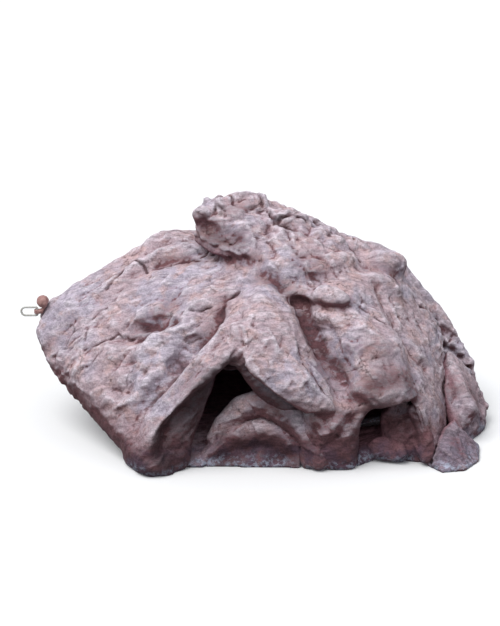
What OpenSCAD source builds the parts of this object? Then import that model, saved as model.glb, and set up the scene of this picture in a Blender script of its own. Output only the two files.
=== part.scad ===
// Hollow cast-resin rock cave for a pond or a large aquarium.
// A front shell and a back shell stand on their open rims; smaller stones are bonded to them,
// and a tether loop swings in an eye at the left tip.
// Frame: +X right, +Y to the back, +Z up. The origin is on the ground under the middle of the rock.

/* [Rock] */
// Width of the rock, from the left tip to the right flank
rock_w = 480; // [360:5:600]
// Depth of the rock, from the front feet to the back
rock_d = 285; // [220:5:360]
// Height of the rock, from the ground to the top of the crest
rock_h = 246; // [190:2:310]

/* [Casting] */
// Wall thickness of the two shells where they are furthest from the middle
wall = 10; // [8:1:14]
// Bond line left between two castings
bond_gap = 0.8; // [0.5:0.1:1.5]
// Width of the open slits in the seam at the right
slit_w = 5; // [3:0.5:8]

/* [Tether] */
// Radius of the loop's cord
cord_r = 1.1; // [0.8:0.1:1.3]
// Length of the loop, eye to far end
loop_reach = 17; // [14:1:24]
// Height of the loop between its two strands' centres
loop_h = 9; // [8.5:0.5:12]

/* [Hidden] */
big = 1000;
running_gap = 0.08;
corner_r = 2;

// The landmarks are millimetres on a rock of the nominal size, shifted so that the origin is under the
// middle of the whole, loop included, and stretched to the driving sizes.
nominal = [480, 285, 246];
shift = [5.05, 2.6];
function at(x, y, z) = [(x + shift.x) * rock_w / nominal.x, (y + shift.y) * rock_d / nominal.y,
                        z * rock_h / nominal.z];

// The castings' forms shrink or grow about points in their own middles.
middle = at(0, 0, 60);
hollow = 1 - wall / (rock_h - middle.z);
grown = 1 + bond_gap / (0.5 * rock_d);
// Feet run below the ground and are cut off level with it.
under = -20;

// Landmarks of the left plate. Its top edge is the brow; its overhanging lower edge is the keel,
// with a bevel in front of it.
left_tip = [at(-240, -10, 107), at(-240, -4, 115), at(-232, 0, 124)];
brow = [at(-200, 18, 145), at(-169, 28, 160), at(-140, 26, 170), at(-95, 44, 197), at(-66, 44, 199)];
brow_knob = [at(-119, 34, 184), at(-114, 42, 193), at(-106, 44, 198), at(-93, 46, 200), at(-82, 46, 198),
             at(-84, 34, 186), at(-100, 26, 180), at(-116, 26, 178)];
keel = [at(-219, -30, 70), at(-193, -55, 48), at(-165, -82, 29), at(-140, -112, 10)];
bevel = [at(-203, -50, 84), at(-176, -80, 68), at(-148, -108, 47), at(-128, -130, 27)];
belly = [at(-50, -50, 167), at(-66, -77, 145), at(-90, -91, 116), at(-120, -106, 80)];
crease = [at(-22, -72, 162), at(-38, -86, 130), at(-60, -98, 99), at(-87, -113, 69), at(-113, -126, 41)];

// Landmarks of the leaning ridge and of the dome, which lean together over the cave mouth.
ridge = [at(-10, -110, 154), at(-28, -130, 127), at(-54, -137, 98), at(-80, -142, 75), at(-103, -147, 48),
         at(-117, -148, 26)];
heel = [at(-128, -126, under), at(-104, -145, under), at(-82, -141, under), at(-66, -126, under),
        at(-95, -80, under), at(-62, -90, under)];
dome_top = [at(1, -68, 176), at(21, -62, 172), at(35, -90, 146), at(50, -112, 119), at(67, -128, 88)];
dome_lip = [at(75, -138, 66), at(47, -146, 66), at(26, -147, 77), at(1, -143, 95), at(-16, -136, 113)];
dome_nose = [at(35, -146, 100), at(14, -118, 144)];
// The furrow floor joins the dome to the right dome, well behind both.
furrow = [at(5, -36, 168), at(28, -46, 163), at(39, -60, 156), at(49, -86, 126), at(63, -102, 108),
          at(76, -114, 84), at(84, -122, 68)];

// Landmarks of the right dome and of the shoulder that falls to the right foot.
right_top = [at(60, -64, 168), at(68, -60, 174), at(98, -58, 168), at(74, -92, 140), at(86, -113, 108),
             at(91, -130, 74)];
right_lip = [at(110, -132, 65), at(136, -132, 67), at(155, -120, 70)];
right_nose = [at(143, -86, 121), at(134, -115, 99), at(108, -125, 106)];
shoulder_knob = [at(115, -6, 182), at(124, 2, 190), at(135, 6, 188), at(143, 4, 176), at(142, -12, 156),
                 at(123, -22, 153), at(115, -18, 162)];
shoulder = [at(100, -60, 165), at(142, 0, 169), at(159, 2, 146), at(178, -2, 125), at(189, -4, 103),
            at(193, -8, 81), at(186, -50, 58), at(151, -92, 92), at(170, -94, 62), at(181, -98, 38),
            at(155, -118, 66)];
summit = [at(-47, 12, 203), at(-21, 18, 222), at(41, 22, 219), at(79, 26, 198), at(120, 22, 181),
          at(5, -40, 187), at(60, -42, 182), at(142, 5, 168), at(100, -56, 167)];

// A mass is the smallest convex block round its landmarks: one weathered lump of the rock.
module mass(points) {
    hull() polyhedron(points, [for (i = [0 : len(points) - 3]) [i, i + 1, i + 2]]);
}

module about(centre, k) {
    translate(centre) scale(k) translate(-centre) children();
}

module above_ground() {
    intersection() {
        children();
        translate([-big / 2, -big / 2, 0]) cube(big);
    }
}

// The seam between the shells leans, so that it comes forward at the right.
seam_at = at(0, 27, 0);
seam_turn = -5;
module behind_seam(gap = 0) {
    translate(seam_at) rotate(seam_turn) translate([-big / 2, gap, -big / 2]) cube(big);
}

module left_plate() {
    mass(concat(left_tip, brow, keel, bevel, belly, crease, [at(-105, 60, 30), at(-60, 60, 150)]));
}

module leaning_ridge() {
    mass(concat(crease, ridge, heel, [keel[3], bevel[3], at(-60, -60, 110), at(-90, -80, 40)]));
}

module dome() {
    mass(concat(dome_top, dome_lip, dome_nose, [ridge[0], crease[0], at(20, 10, 120), at(60, 0, 60)]));
}

module furrow_floor() {
    mass(concat(furrow, [at(24, -32, 178), at(64, -42, 170), at(20, -60, 90), at(95, -100, 110),
                         at(70, 0, 150), at(70, 10, 70), at(95, -105, 68)]));
}

module buttress() {
    mass([at(43, -130, 64), at(89, -134, 68), at(109, -126, 62), at(105, -129, 46), at(100, -130, 30),
          at(91, -128, under), at(67, -138, 52), at(39, -122, 30), at(39, -125, under), at(60, -40, 100),
          at(84, -50, under), at(50, -50, under)]);
}

module right_dome() {
    mass(concat(right_top, right_lip, right_nose, [at(90, 0, 90), at(60, 0, 130)]));
}

module knobs() {
    mass(concat(brow_knob, [at(-100, 46, 170)]));
    mass(concat(shoulder_knob, [at(125, 20, 150)]));
}

module right_shoulder() {
    mass(concat(shoulder, [at(178, -125, under), at(200, -90, under), at(196, 20, under), at(120, 40, 100),
                           at(190, 24, 70)]));
}

module summit_block() {
    mass(concat(summit, [crease[0], brow[4], at(-60, 30, 120), at(140, 40, 60)]));
}

module front_masses() {
    left_plate();
    leaning_ridge();
    dome();
    furrow_floor();
    buttress();
    right_dome();
    right_shoulder();
    summit_block();
    knobs();
}

module back_left() {
    mass(concat(left_tip, brow, [keel[0], keel[1], keel[2], at(-190, 60, 96), at(-150, 108, 96),
         at(-110, 130, 70), at(-120, 60, under), at(-100, 130, under), at(-40, 138, under),
         at(-70, 112, 156), at(-40, 140, 60), at(-60, 40, 60)]));
}

module back_middle() {
    mass([brow[4], summit[0], summit[1], summit[2], summit[3], summit[4], summit[7], at(-50, 100, 162),
          at(45, 105, 168), at(110, 92, 144), at(-70, 138, 66), at(20, 142, 72), at(115, 130, 62),
          at(-80, 136, under), at(20, 143, under), at(125, 128, under), at(0, 20, 60)]);
}

module back_right() {
    mass([summit[7], shoulder[2], shoulder[3], shoulder[4], at(100, 98, 140), at(165, 78, 108),
          at(205, 60, 44), at(105, 132, 64), at(162, 108, 46), at(208, 50, under), at(168, 112, under),
          at(80, 134, under), at(100, 20, 60)]);
}

// The saddle fills the notch between the left and the middle of the back.
module saddle() {
    mass([brow[4], summit[0], at(-50, 100, 162), at(-70, 112, 156), at(-70, 138, 66), at(-40, 140, 60),
          at(-60, 30, 120), at(-60, 60, 60)]);
}

// The back shell's rim stands out past the front shell down the right side.
module rim_flare() {
    mass([at(81, 36, 201), at(96, 40, 196), at(116, 41, 186), at(145, 42, 171), at(155, 40, 160),
          at(168, 40, 148), at(182, 38, 128), at(191, 36, 118), at(202, 33, 108), at(209, 30, 96),
          at(218, 27, 84), at(227, 23, 69), at(232, 20, 54), at(236, 16, 41), at(240, 12, 28),
          at(240, 10, under), at(96, 66, 178), at(150, 64, 142), at(200, 62, 70), at(222, 56, under),
          at(100, 40, 120), at(170, 40, under)]);
}

module back_masses() {
    back_left();
    back_middle();
    back_right();
    saddle();
}

module rock(with_rim = false) {
    front_masses();
    back_masses();
    if (with_rim) rim_flare();
}

// The cavity follows the outside, round an open core. The ridge, the buttress, the right dome and the
// rim stay solid, and a wall stays behind the furrow.
module core() {
    mass([at(-75, -20, 20), at(-60, -35, 110), at(-44, -34, 149), at(-26, -37, 152), at(-62, 30, 172),
          at(-42, 30, 182), at(-60, 60, 146), at(-20, 60, 150),
          at(60, 60, 140), at(108, 45, 104), at(100, 30, 104), at(182, 44, 12), at(182, 52, 12),
          at(100, 80, 60), at(-60, 90, 60), at(-60, 90, under), at(100, 90, under),
          at(182, 52, under), at(182, 40, under), at(-75, -20, under)]);
}

module furrow_wall() {
    behind = [0, 1.6 * wall, -0.6 * wall];
    mass(concat(furrow, [for (p = furrow) p + behind], [at(50, -30, 178), at(90, -50, 160)]));
}

module cavity() {
    difference() {
        union() {
            core();
            about(middle, hollow) {
                left_plate();
                dome();
                right_shoulder();
                summit_block();
                back_masses();
            }
        }
        furrow_wall();
    }
}

// The cave mouth is splayed. Its left corner is cut short by the foot of the ridge.
mouth_rim = [at(-33, -170, 124), at(-55, -170, 99), at(-84, -170, 75), at(-108, -170, 48), at(-112, -170, 38),
             at(-72, -170, 8), at(-68, -170, under), at(44, -170, under), at(43, -170, 62),
             at(27, -170, 78), at(1, -170, 98), at(-16, -170, 116)];
mouth_throat = [at(-34, -40, 96), at(-70, -40, 62), at(-76, -40, 20), at(-74, -40, under), at(36, -40, under),
                at(34, -40, 52), at(6, -40, 76)];
mouth_middle = at(-25, -100, 30);
mouth_span = 80;
module cave_mouth(k = 1) {
    about(mouth_middle, k) mass(concat(mouth_rim, mouth_throat));
}

hole_rim = [at(96, -170, 54), at(110, -170, 66), at(136, -170, 68), at(158, -170, 66), at(170, -170, 40),
            at(170, -170, under), at(94, -170, under)];
hole_throat = [at(100, -40, 50), at(116, -40, 58), at(140, -40, 56), at(150, -40, under),
               at(100, -40, under)];
hole_middle = at(130, -100, 25);
hole_span = 45;
module side_hollow(k = 1) {
    about(hole_middle, k) mass(concat(hole_rim, hole_throat));
}

// A form with the bond line added on every side.
module swollen() {
    for (d = [[0, 0, 0], [1, 0, 0], [-1, 0, 0], [0, 1, 0], [0, -1, 0], [0, 0, 1], [0, 0, -1]]) {
        translate(bond_gap * d) children();
    }
}

// A stone fills the hole that it stands in, less the bond line against the rock round it.
module bedded_in_rock() {
    difference() {
        children(0);
        difference() {
            swollen() front_masses();
            children(1);
        }
    }
}

// Open slits in the seam, between the front shell's edge and the back shell's rim.
slit_dip = 20;
slit_depth = 26;
module seam_slit(from, to) {
    hull() {
        for (p = [from, to]) {
            translate(p) rotate([90 - slit_dip, 0, 0])
                cylinder(h = slit_depth, d = slit_w, center = true, $fn = 10);
        }
    }
}

module seam_slits() {
    seam_slit(at(163, 20, 140), at(186, 20, 112));
    seam_slit(at(199, 12, 84), at(220, 12, 60));
}

module front_shell() {
    color([0.72, 0.64, 0.66])
    above_ground() {
        difference() {
            rock();
            cavity();
            behind_seam();
            cave_mouth();
            side_hollow();
            seam_slits();
            beyond_pad();
        }
    }
}

module back_shell() {
    color([0.68, 0.61, 0.62])
    above_ground() {
        difference() {
            intersection() {
                rock(with_rim = true);
                behind_seam(bond_gap);
            }
            cavity();
            seam_slits();
        }
    }
}

// The rough crest is a casting of its own, bonded over the summit.
module crest_cap() {
    color([0.74, 0.68, 0.68])
    difference() {
        mass([at(-67, -2, 228), at(-62, 4, 237), at(-49, 8, 242), at(-29, 14, 246), at(-15, 16, 246),
              at(2, 20, 236), at(21, 22, 229), at(42, 24, 221), at(63, 28, 210), at(80, 27, 203),
              at(-66, -4, 219), at(-58, -8, 210), at(-31, -26, 198), at(-14, -42, 192), at(14, -50, 184),
              at(40, -52, 184), at(76, -34, 188), at(-48, 40, 226), at(-10, 52, 232), at(50, 50, 208),
              at(-30, 30, 180), at(40, 20, 180)]);
        about(middle, grown) rock(with_rim = true);
    }
}

// A sloping ledge stone half fills the cave mouth and leaves a passage at its upper left.
module cave_ledge() {
    color([0.55, 0.48, 0.50])
    above_ground()
    bedded_in_rock() {
        union() {
            mass([at(-64, -122, under), at(-60, -120, 8), at(-56, -94, 16), at(-36, -84, 36),
                  at(-16, -76, 54), at(2, -76, 58), at(15, -84, 59), at(48, -100, 54), at(50, -121, 24),
                  at(19, -118, 34), at(1, -114, 40), at(-20, -112, 35), at(-45, -117, 14),
                  at(46, -128, under), at(10, -126, under), at(40, -42, under), at(40, -42, 44),
                  at(-20, -42, 36), at(-48, -42, under)]);
            mass([at(-88, -122, 4), at(-81, -112, 12), at(-71, -104, 16), at(-97, -80, 20), at(-58, -124, 4),
                  at(-58, -124, under), at(-88, -122, under), at(-80, -42, 24), at(-30, -42, 24),
                  at(-80, -42, under), at(-30, -42, under), at(-40, -90, 20)]);
        }
        cave_mouth(1 - 2.5 * bond_gap / mouth_span);
    }
}

// A second stone fills the side hollow and leaves a passage at its upper left.
module side_stone() {
    color([0.42, 0.34, 0.35])
    above_ground()
    bedded_in_rock() {
        union() {
            mass([at(122, -92, 40), at(125, -104, 18), at(141, -110, 33), at(136, -92, 60), at(162, -104, 58),
                  at(168, -112, 26), at(167, -112, 4), at(161, -104, 1), at(145, -89, under),
                  at(167, -112, under), at(128, -88, under), at(128, -44, 40), at(150, -44, 54),
                  at(176, -44, under), at(128, -44, under)]);
            mass([at(92, -124, 4), at(95, -114, 12), at(113, -100, 18), at(126, -96, 17), at(94, -125, under),
                  at(116, -101, under), at(134, -92, under), at(94, -60, 14), at(130, -60, 20),
                  at(94, -60, under), at(130, -60, under)]);
        }
        side_hollow(1 - 2.5 * bond_gap / hole_span);
    }
}

module flank_mass() {
    mass([at(197, -8, 80), at(213, 0, 65), at(227, 6, 47), at(240, 4, 26), at(241, -12, 18), at(240, -26, 8),
          at(231, -44, 6), at(230, -44, under), at(207, -76, 24), at(202, -80, under), at(188, -54, 57),
          at(217, -54, 42), at(180, -20, 40), at(190, 4, under)]);
}

// The flank slab leans on the shoulder and bulges past the rim at the right.
module flank_slab() {
    color([0.62, 0.55, 0.57])
    above_ground()
    difference() {
        flank_mass();
        swollen() {
            right_shoulder();
            rim_flare();
        }
    }
}

// The toe stone is the right foot.
module toe_stone() {
    color([0.58, 0.55, 0.60])
    above_ground()
    difference() {
        mass([at(198, -86, 34), at(211, -92, 16), at(224, -80, 4), at(224, -78, under), at(219, -110, 2),
              at(216, -118, under), at(202, -131, 2), at(180, -135, 2), at(178, -134, under),
              at(168, -119, 12), at(166, -119, under), at(186, -100, 32), at(180, -80, 10),
              at(200, -60, under)]);
        swollen() {
            right_shoulder();
            flank_mass();
            rim_flare();
        }
        side_hollow();
    }
}

// A pad is cut on the left tip, for the lug.
pad_at = at(-226, -3, 122);
pad_tilt = 30;
module beyond_pad(gap = 0) {
    translate(pad_at) rotate([0, pad_tilt, 0]) translate([-big - gap, -big / 2, -big / 2]) cube(big);
}

// The lug is a small cast knob over an eye. The straight leg of the loop turns in the eye.
eye_at = pad_at + [-7, 0, 0];
eye_h = 4;
eye_wall = 2.4;
eye_r = cord_r + running_gap;
knob_r = 6.5;
knob_at = pad_at + [-1, 0, 11];

module tether_lug() {
    eye_out_r = eye_r + eye_wall;
    color([0.70, 0.52, 0.52])
    difference() {
        intersection() {
            union() {
                translate(knob_at) sphere(knob_r, $fn = 48);
                translate(eye_at + [0, 0, -eye_h / 2]) cylinder(h = eye_h, r = eye_out_r, $fn = 48);
                translate(eye_at + [0, -eye_out_r, -eye_h / 2]) cube([20, 2 * eye_out_r, eye_h]);
                translate(eye_at + [5, -eye_out_r, -eye_h / 2]) cube([15, 2 * eye_out_r, 10]);
            }
            beyond_pad(bond_gap);
        }
        translate(eye_at) cylinder(h = 3 * eye_h, r = eye_r, center = true, $fn = 48);
    }
}

// A D-shaped link: a straight leg in the eye, two strands and a round bow.
module tether_loop() {
    half_h = loop_h / 2;
    strand = loop_reach - half_h - corner_r;
    color([0.85, 0.85, 0.83])
    translate(eye_at) rotate([90, 0, 0]) {
        rotate([90, 0, 0]) cylinder(h = loop_h - 2 * corner_r, r = cord_r, center = true, $fn = 48);
        for (side = [-1, 1]) {
            translate([-corner_r, side * (half_h - corner_r), 0]) cord_bend(corner_r, side > 0 ? 0 : -90, 90);
            translate([-corner_r, side * half_h, 0]) rotate([0, -90, 0])
                cylinder(h = strand, r = cord_r, $fn = 32);
        }
        translate([-corner_r - strand, 0, 0]) cord_bend(half_h, 90, 180);
    }
}

module cord_bend(bend_r, start, angle) {
    rotate(start) rotate_extrude(angle = angle, $fn = 64) translate([bend_r, 0]) circle(cord_r, $fn = 32);
}

front_shell();
back_shell();
crest_cap();
cave_ledge();
side_stone();
flank_slab();
toe_stone();
tether_lug();
tether_loop();
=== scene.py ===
"""Blender looks for the resin rock cave: sculpted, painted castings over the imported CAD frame."""
import math

import bmesh
import bpy
import numpy as np
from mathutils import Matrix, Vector
from mathutils.bvhtree import BVHTree


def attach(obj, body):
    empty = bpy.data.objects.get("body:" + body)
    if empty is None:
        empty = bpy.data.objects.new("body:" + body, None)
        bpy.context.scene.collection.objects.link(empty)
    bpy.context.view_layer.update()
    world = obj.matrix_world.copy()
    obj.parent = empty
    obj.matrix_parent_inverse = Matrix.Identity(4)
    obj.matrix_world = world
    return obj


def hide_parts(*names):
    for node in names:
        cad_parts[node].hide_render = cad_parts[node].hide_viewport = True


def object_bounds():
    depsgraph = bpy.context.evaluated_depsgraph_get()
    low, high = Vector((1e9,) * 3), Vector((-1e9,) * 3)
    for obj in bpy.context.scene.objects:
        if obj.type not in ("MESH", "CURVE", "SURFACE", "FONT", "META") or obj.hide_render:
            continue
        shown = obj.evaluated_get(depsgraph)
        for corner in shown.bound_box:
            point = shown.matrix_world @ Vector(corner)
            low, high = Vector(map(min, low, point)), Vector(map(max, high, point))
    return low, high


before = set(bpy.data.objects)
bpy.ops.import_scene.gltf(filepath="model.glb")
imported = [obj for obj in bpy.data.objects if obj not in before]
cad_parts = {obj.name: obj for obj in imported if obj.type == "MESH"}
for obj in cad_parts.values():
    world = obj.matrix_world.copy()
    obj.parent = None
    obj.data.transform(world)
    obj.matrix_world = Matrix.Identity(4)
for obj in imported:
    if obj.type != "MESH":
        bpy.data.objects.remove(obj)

MM = 0.001
LOW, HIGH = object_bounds()
CENTRE = (LOW + HIGH) / 2

# Landmarks are millimetres from the ground point under the rock's own middle, as in the CAD source.
SHIFT = (5.05, 2.6)
ORIGIN = np.array([CENTRE.x + SHIFT[0] * MM, CENTRE.y + SHIFT[1] * MM, LOW.z])


# ---------------------------------------------------------------- noise

def lattice(cell, seed):
    """A pseudo-random vector in -1 to 1 for each integer lattice cell."""
    h = cell[..., 0] * 374761393 + cell[..., 1] * 668265263 + cell[..., 2] * 2147483647
    h = h + seed * 1274126177
    h = (h ^ (h >> 13)) * 1274126177
    h = h ^ (h >> 16)
    return np.stack([((h >> s) & 1023) / 511.5 - 1.0 for s in (0, 10, 20)], -1)


def smooth(p, size, seed=0):
    """Gradient noise in about -1 to 1, with features of the given size."""
    q = p / size
    base = np.floor(q).astype(np.int64)
    f = q - base
    w = f * f * f * (f * (f * 6 - 15) + 10)
    total = np.zeros(len(p))
    for i in range(8):
        corner = np.array([i & 1, (i >> 1) & 1, (i >> 2) & 1])
        weight = np.prod(np.where(corner == 1, w, 1 - w), axis=1)
        total += weight * np.sum(lattice(base + corner, seed) * (f - corner), axis=1)
    return total * 1.3


def fractal(p, size, octaves, seed=0):
    """Octaves of smooth noise, each half the size and half the strength of the one before."""
    return sum(smooth(p, size / 2 ** k, seed + 17 * k) / 2 ** k for k in range(octaves))


def creased(p, size, octaves, seed=0):
    """Noise with sharp valleys and round crests, as on weathered stone."""
    return sum((np.abs(smooth(p, size / 2 ** k, seed + 31 * k)) * 2 - 0.5) / 2 ** k for k in range(octaves))


def lumps(p, size, seed=0):
    """Round nodules packed side by side: 1 at a nodule's middle, 0 in the joints."""
    q = p / size
    base = np.floor(q).astype(np.int64)
    near = np.full(len(p), 9.0)
    for i in range(27):
        cell = base + np.array([i % 3 - 1, i // 3 % 3 - 1, i // 9 - 1])
        d = np.linalg.norm(cell + 0.5 + 0.45 * lattice(cell, seed) - q, axis=1)
        near = np.minimum(near, d)
    return np.clip(1 - near * near * 1.6, 0, 1)


def facets(p, size, seed=0, sharp=18):
    """Tilted planes as on broken stone: their height, and 1 in the joints between them."""
    q = p / size
    base = np.floor(q).astype(np.int64)
    total = np.zeros(len(p))
    weight = np.full(len(p), 1e-9)
    most = np.zeros(len(p))
    for i in range(27):
        cell = base + np.array([i % 3 - 1, i // 3 % 3 - 1, i // 9 - 1])
        away = q - (cell + 0.5 + 0.45 * lattice(cell, seed))
        share = np.exp(-sharp * np.sum(away * away, axis=1))
        total += share * np.sum(away * lattice(cell, seed + 7), axis=1)
        weight += share
        most = np.maximum(most, share)
    return total / weight, ramp(0.35, 0.5, 1 - most / weight)


def ramp(low, high, x):
    """A smooth step from 0 at low to 1 at high."""
    t = np.clip((x - low) / (high - low), 0, 1)
    return t * t * (3 - 2 * t)


# ---------------------------------------------------------------- meshes as arrays

def mesh_array(items, key, width, kind=float):
    """One property of all of a mesh's items, as an array with a row for each."""
    out = np.empty(len(items) * width, kind)
    items.foreach_get(key, out)
    return out.reshape(-1, width) if width > 1 else out


class Skin:
    """A fine closed mesh with its vertices, edges and quads as arrays."""

    def __init__(self, name, sources, voxel):
        self.obj = remeshed(name, sources, voxel)
        self.mesh = self.obj.data
        self.co = mesh_array(self.mesh.vertices, "co", 3)
        self.edges = mesh_array(self.mesh.edges, "vertices", 2, int)
        self.count = np.bincount(self.edges.ravel(), minlength=len(self.co)).astype(float)
        loops = mesh_array(self.mesh.loops, "vertex_index", 1, int)
        starts = mesh_array(self.mesh.polygons, "loop_start", 1, int)
        self.quads = loops[starts[:, None] + np.arange(4)]
        self.paint = {}

    def mean(self, values):
        """Each vertex's average over its neighbours."""
        if values.ndim > 1:
            return np.stack([self.mean(column) for column in values.T], 1)
        a, b = self.edges.T
        total = np.bincount(a, values[b], len(values)) + np.bincount(b, values[a], len(values))
        return total / self.count

    def blur(self, values, rounds):
        for _ in range(rounds):
            values = values + 0.7 * (self.mean(values) - values)
        return values

    def relax(self, rounds, amount=1.0):
        """Laplacian smoothing, scaled for each vertex by amount."""
        amount = np.broadcast_to(amount, len(self.co))[:, None]
        for _ in range(rounds):
            self.co = self.co + amount * 0.6 * (self.mean(self.co) - self.co)

    def normals(self):
        p = self.co[self.quads]
        across = np.cross(p[:, 2] - p[:, 0], p[:, 3] - p[:, 1])
        out = np.zeros_like(self.co)
        for k in range(4):
            for c in range(3):
                out[:, c] += np.bincount(self.quads[:, k], across[:, c], len(self.co))
        return out / np.maximum(np.linalg.norm(out, axis=1), 1e-12)[:, None]

    def marks(self):
        """The vertices as landmarks, in millimetres."""
        return (self.co - ORIGIN) / MM

    def store(self):
        """Writes the vertices and the painted attributes to the mesh."""
        self.mesh.vertices.foreach_set("co", self.co.ravel())
        for name, values in self.paint.items():
            layer = self.mesh.attributes.new(name, "FLOAT", "POINT")
            layer.data.foreach_set("value", np.clip(values, 0, 1).astype(np.float32))
        self.mesh.shade_smooth()
        self.mesh.update()


def remeshed(name, sources, voxel):
    """A new object: the voxel remesh of (vertices, faces) lists taken together."""
    vertices = []
    faces = []
    for points, polygons in sources:
        offset = len(vertices)
        vertices.extend(points)
        faces.extend([[i + offset for i in polygon] for polygon in polygons])
    rough = bpy.data.meshes.new(name)
    rough.from_pydata(vertices, [], faces)
    obj = bpy.data.objects.new(name, rough)
    bpy.context.collection.objects.link(obj)
    modifier = obj.modifiers.new("fine", "REMESH")
    modifier.mode = "VOXEL"
    modifier.voxel_size = voxel
    graph = bpy.context.evaluated_depsgraph_get()
    fine = bpy.data.meshes.new_from_object(obj.evaluated_get(graph), depsgraph=graph)
    obj.modifiers.clear()
    obj.data = fine
    bpy.data.meshes.remove(rough)
    fine.name = name
    return obj


def cad_faces(node):
    """The vertices and faces of a CAD node."""
    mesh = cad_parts[node].data
    return [tuple(v.co) for v in mesh.vertices], [list(p.vertices) for p in mesh.polygons]


def ball(place, radius):
    """A small geodesic ball for clay, at a landmark."""
    form = bmesh.new()
    bmesh.ops.create_icosphere(form, subdivisions=2, radius=radius * MM)
    centre = ORIGIN + np.array(place) * MM
    points = [tuple(v.co + Vector(centre)) for v in form.verts]
    faces = [[v.index for v in f.verts] for f in form.faces]
    form.free()
    return points, faces


def clay(*knots):
    """A roll of clay through (x, y, z, radius) knots: it fills a hollow or builds a lump."""
    balls = [ball(knots[0][:3], knots[0][3])]
    for here, there in zip(knots, knots[1:]):
        here, there = np.array(here, float), np.array(there, float)
        steps = int(np.ceil(np.linalg.norm(there - here)[()] / (0.4 * min(here[3], there[3]))))
        for k in range(1, steps + 1):
            knot = here + (there - here) * k / steps
            balls.append(ball(knot[:3], knot[3]))
    return balls


def sheet(outline, top):
    """A flat sheet on the ground inside an outline of landmarks."""
    points = [tuple(ORIGIN + np.array([x, y, z]) * MM) for z in (0, top) for x, y in outline]
    n = len(outline)
    sides = [[i, (i + 1) % n, (i + 1) % n + n, i + n] for i in range(n)]
    return points, [list(range(n))[::-1], list(range(n, 2 * n))] + sides


def stands(marks, height):
    """0.1 at the ground, 1 above the given height, so that feet keep their level edge."""
    return 0.1 + 0.9 * ramp(0, height, marks[:, 2])


# ---------------------------------------------------------------- forms

SHELL_NODES = ["front_shell", "back_shell", "crest_cap"]
GROWTH = 0.8
SHELL_VOXEL = 2.6
BODY_VOXEL = 1.8

# Rolls of clay on the shells, as (x, y, z, radius) knots.
CLAY = [
    # foot of the furrow, where it runs out between the domes
    [(63, -99, 102, 8), (80, -112, 80, 9)],
    # nodule on top of the right dome
    [(50, -66, 160, 8), (60, -71, 162, 8), (69, -76, 163, 10), (79, -77, 160, 9)],
    # knob on the shoulder and its foot
    [(112, -10, 178, 11), (124, -8, 178, 14), (134, -6, 175, 15), (142, 4, 172, 13)],
    [(114, -30, 168, 10), (128, -30, 163, 11), (140, -28, 154, 9)],
    # nodules on the brow
    [(-118, 32, 179, 9), (-104, 38, 188, 11), (-90, 38, 192, 9), (-76, 36, 193, 7)],
    # the leaning ridge
    [(-18, -80, 154, 9), (-36, -97, 132, 10), (-55, -110, 109, 11)],
    [(-55, -110, 109, 11), (-90, -118, 66, 12), (-110, -128, 40, 10)],
    # the broad inner face of the ridge, which runs back into the cave
    [(-46, -94, 112, 9), (-60, -100, 88, 15), (-74, -106, 60, 19), (-86, -112, 34, 22), (-92, -116, 12, 24)],
    [(-106, -122, 46, 10), (-101, -126, 24, 14), (-99, -128, 8, 15)],
    # top of the arch
    [(-16, -116, 115, 9), (-20, -113, 121, 10), (-21, -112, 130, 12), (-22, -108, 140, 12)],
    # underside of the dome, from the top of the arch down to the right
    [(-25, -112, 117, 8), (-17, -110, 105, 10), (-7, -108, 93, 11), (6, -106, 80, 13), (24, -110, 60, 12)],
    [(14, -100, 84, 13), (34, -108, 66, 13)],
    # crown of the dome
    [(0, -84, 158, 12), (12, -98, 142, 14), (26, -110, 124, 14), (44, -118, 98, 12)],
    # overhang at the left end of the crest
    [(-58, 1, 225, 11), (-50, -5, 218, 9), (-36, -13, 211, 8), (-22, -22, 205, 8)],
    # the crest runs out softly to the front and the right
    [(-4, -34, 186, 14), (18, -42, 182, 14), (40, -44, 180, 14), (64, -36, 180, 14), (86, -20, 180, 14)],
    [(4, -52, 167, 14), (24, -58, 162, 14), (44, -56, 162, 12)],
    [(60, -20, 196, 12), (84, 0, 190, 14), (104, 8, 182, 12)],
    # the overhang's under-face runs back into the plate
    [(-60, 2, 206, 11), (-48, -8, 204, 13), (-33, -21, 201, 13), (-18, -31, 196, 12)],
    # the right dome's top, under the nodule
    [(60, -73, 142, 12), (74, -75, 142, 14), (90, -77, 141, 14)],
    # nodules along the crest
    [(-44, 6, 226, 12), (-34, 2, 230, 11)],
    [(-14, 16, 238, 10), (2, 14, 236, 9)],
    [(28, 2, 224, 9), (44, 6, 219, 9)],
    [(58, -4, 208, 9), (72, 4, 204, 10)],
]


def make_body():
    """The two shells and the crest as one skin, with the clay on it."""
    sources = []
    for node in SHELL_NODES:
        part = Skin(node + "_form", [cad_faces(node)], SHELL_VOXEL * MM)
        part.relax(3)
        grown = part.co + GROWTH * MM * part.normals()
        sources.append((grown.tolist(), part.quads.tolist()))
        bpy.data.objects.remove(part.obj)
    for roll in CLAY:
        sources.extend(clay(*roll))
    body = Skin("body_form", sources, BODY_VOXEL * MM)
    body.relax(32, stands(body.marks(), 14))
    return body


# ---------------------------------------------------------------- sculpting

def distance_to_line(p, points):
    """Distance of each place to a line through points."""
    points = np.array(points, float)
    if len(points) == 1:
        return np.linalg.norm(p - points[0], axis=1)
    best = np.full(len(p), np.inf)
    for a, b in zip(points, points[1:]):
        t = np.clip((p - a) @ (b - a) / ((b - a) @ (b - a)), 0, 1)
        best = np.minimum(best, np.linalg.norm(p - a - t[:, None] * (b - a), axis=1))
    return best


def near(p, radius, points, hard=1.0):
    """1 on the line, falling smoothly to 0 at the radius; a low hard keeps it high for longer."""
    points = np.array(points, float)
    inside = np.all((p > points.min(0) - radius) & (p < points.max(0) + radius), axis=1)
    weight = np.zeros(len(p))
    weight[inside] = ramp(1, 0, distance_to_line(p[inside], points) / radius) ** hard
    return weight


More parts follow.
